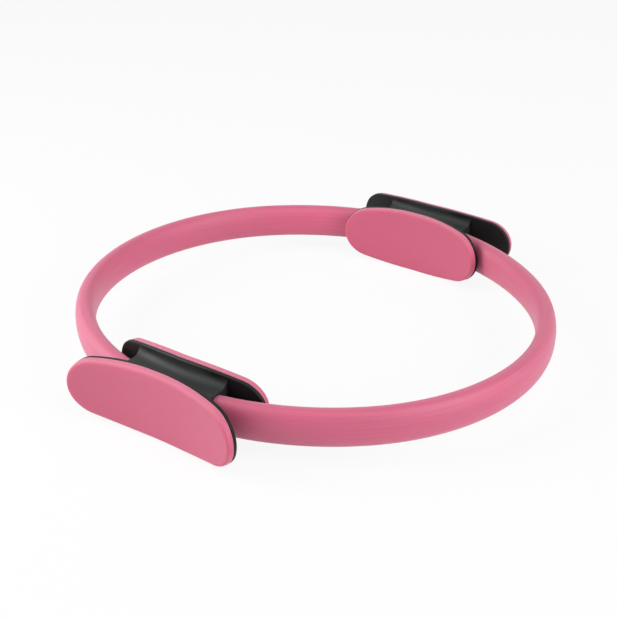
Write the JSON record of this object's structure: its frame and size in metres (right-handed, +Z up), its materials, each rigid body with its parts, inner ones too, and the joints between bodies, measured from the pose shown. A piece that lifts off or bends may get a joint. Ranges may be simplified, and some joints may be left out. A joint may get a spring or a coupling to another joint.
{
  "type": "pilates ring",
  "caption": "Flat springy hoop in foam sleeves with two opposite padded saddle handles, squeezed between hands, thighs or ankles and springing back.",
  "frame": {"origin": "under the ring's centre, on the surface that it lies on", "axes": "+X from the left handle to the right handle, +Z up, across the hoop's plane"},
  "size_m": [0.4048, 0.393, 0.0547],
  "materials": {
    "sleeve_foam": "matte closed-cell foam tube with fine lengthwise lines",
    "pad_foam": "matte smooth-skinned foam",
    "shell_plastic": "semi-gloss black moulding",
    "strip_fibreglass": "pultruded glass-fibre strip",
    "steel": "zinc-plated steel",
    "adhesive": "double-sided foam tape"
  },
  "bodies": {
    "left_handle": {"front_hoop_strip": "strip_fibreglass", "front_foam_sleeve": "sleeve_foam", "rear_hoop_strip": "strip_fibreglass", "rear_foam_sleeve": "sleeve_foam", "left_clamp_screws": "steel", "left_inner_pad": "pad_foam", "left_inner_pad_adhesive": "adhesive", "left_inner_shell": "shell_plastic", "left_outer_pad": "pad_foam", "left_outer_pad_adhesive": "adhesive", "left_outer_shell": "shell_plastic", "left_splice_plate": "steel"},
    "right_handle": {"right_clamp_screws": "steel", "right_inner_pad": "pad_foam", "right_inner_pad_adhesive": "adhesive", "right_inner_shell": "shell_plastic", "right_outer_pad": "pad_foam", "right_outer_pad_adhesive": "adhesive", "right_outer_shell": "shell_plastic", "right_splice_plate": "steel"}
  },
  "joints": [
    {"name": "squeeze", "type": "slide", "parent": "left_handle", "child": "right_handle", "axis": [-1, 0, 0], "range_m": [-0.02, 0.06], "stiffness_N_per_m": 1900, "deforming": ["front_hoop_strip", "front_foam_sleeve", "rear_hoop_strip", "rear_foam_sleeve"]}
  ]
}
